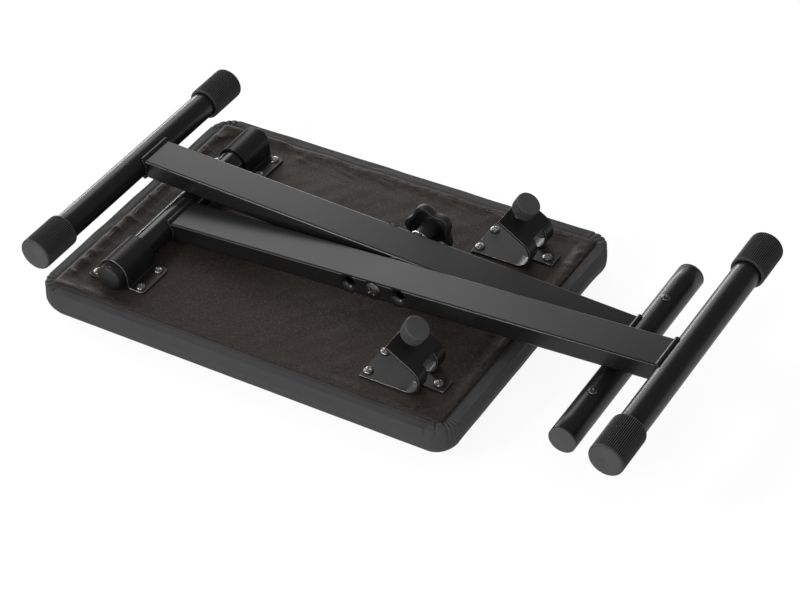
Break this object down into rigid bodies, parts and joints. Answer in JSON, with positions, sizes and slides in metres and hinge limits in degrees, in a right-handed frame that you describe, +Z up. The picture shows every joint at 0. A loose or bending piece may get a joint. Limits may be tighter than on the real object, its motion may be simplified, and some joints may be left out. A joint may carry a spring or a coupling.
{
  "type": "folding keyboard bench",
  "caption": "Folding keyboard bench with a black crossed steel frame and a padded vinyl seat, folded flat and lying upside down on its cushion",
  "frame": {"origin": "middle of the sitting face, which lies on the floor while the bench is folded and upside down", "axes": "+X along the seat towards the hook clips, +Y across the seat from the bolt head to the star knob, +Z up from the floor, out of the seat's underside"},
  "size_m": [0.6071, 0.306, 0.1018],
  "materials": {
    "frame": "satin black powder coat",
    "bracket": "satin black powder coat on pressed sheet",
    "zinc": "bright zinc plate",
    "chrome": "bright nickel chrome",
    "rubber": "ribbed black rubber",
    "plastic": "moulded black plastic",
    "vinyl": "charcoal upholstery vinyl",
    "cloth": "dark woven dust cloth",
    "board": "raw plywood",
    "foam": "cut upholstery foam"
  },
  "bodies": {
    "seat": {"seat_board": "board", "seat_cushion": "foam", "seat_cover": "vinyl", "dust_cover": "cloth", "saddle_near": "bracket", "saddle_far": "bracket", "hook_clip_near": "bracket", "hook_clip_far": "bracket", "weld_nut_near": "zinc", "weld_nut_far": "zinc", "saddle_screw_near_1": "zinc", "saddle_screw_near_2": "zinc", "saddle_screw_near_3": "zinc", "saddle_screw_near_4": "zinc", "saddle_screw_far_1": "zinc", "saddle_screw_far_2": "zinc", "saddle_screw_far_3": "zinc", "saddle_screw_far_4": "zinc", "clip_screw_near_1": "zinc", "clip_screw_near_2": "zinc", "clip_screw_near_3": "zinc", "clip_screw_far_1": "zinc", "clip_screw_far_2": "zinc", "clip_screw_far_3": "zinc"},
    "leg_a": {"leg_a_tube": "frame", "leg_a_top_tube": "frame", "leg_a_foot_tube": "frame", "leg_a_foot_cap_near": "rubber", "leg_a_foot_cap_far": "rubber", "leg_a_plug_near": "plastic", "leg_a_plug_far": "plastic", "pivot_bolt": "zinc", "pivot_spacer": "zinc"},
    "leg_b": {"leg_b_tube": "frame", "leg_b_top_tube": "frame", "leg_b_foot_tube": "frame", "leg_b_foot_cap_near": "rubber", "leg_b_foot_cap_far": "rubber", "leg_b_plug_near": "plastic", "leg_b_plug_far": "plastic", "rivet_near": "zinc", "rivet_far": "zinc", "knob_washer": "chrome"},
    "star_knob_turning": {"star_knob": "plastic", "star_knob_insert": "zinc"},
    "thumbscrew_near": {"thumb_knob_near": "plastic", "thumb_stud_near": "zinc"},
    "thumbscrew_far": {"thumb_knob_far": "plastic", "thumb_stud_far": "zinc"}
  },
  "joints": [
    {"name": "seat_fold", "type": "hinge", "parent": "seat", "child": "leg_a", "pos_m": [-0.152, 0, 0.0515], "axis": [0, -1, 0], "range_deg": [0, 40.75]},
    {"name": "leg_cross", "type": "hinge", "parent": "leg_a", "child": "leg_b", "pos_m": [0.07963, 0, 0.06457], "axis": [0, -1, 0], "range_deg": [-80, 0]},
    {"name": "star_knob_turn", "type": "hinge", "parent": "leg_a", "child": "star_knob_turning", "pos_m": [0.07963, 0.054, 0.06457], "axis": [0, 1, 0], "continuous": true},
    {"name": "thumbscrew_near_turn", "type": "hinge", "parent": "seat", "child": "thumbscrew_near", "pos_m": [0.14986, -0.0965, 0.07804], "axis": [0.5446, 0, 0.8387], "continuous": true},
    {"name": "thumbscrew_far_turn", "type": "hinge", "parent": "seat", "child": "thumbscrew_far", "pos_m": [0.14986, 0.0965, 0.07804], "axis": [0.5446, 0, 0.8387], "continuous": true}
  ],
  "couplings": [
    {"joint": "leg_cross", "follows": "seat_fold", "ratio": -1.961}
  ]
}
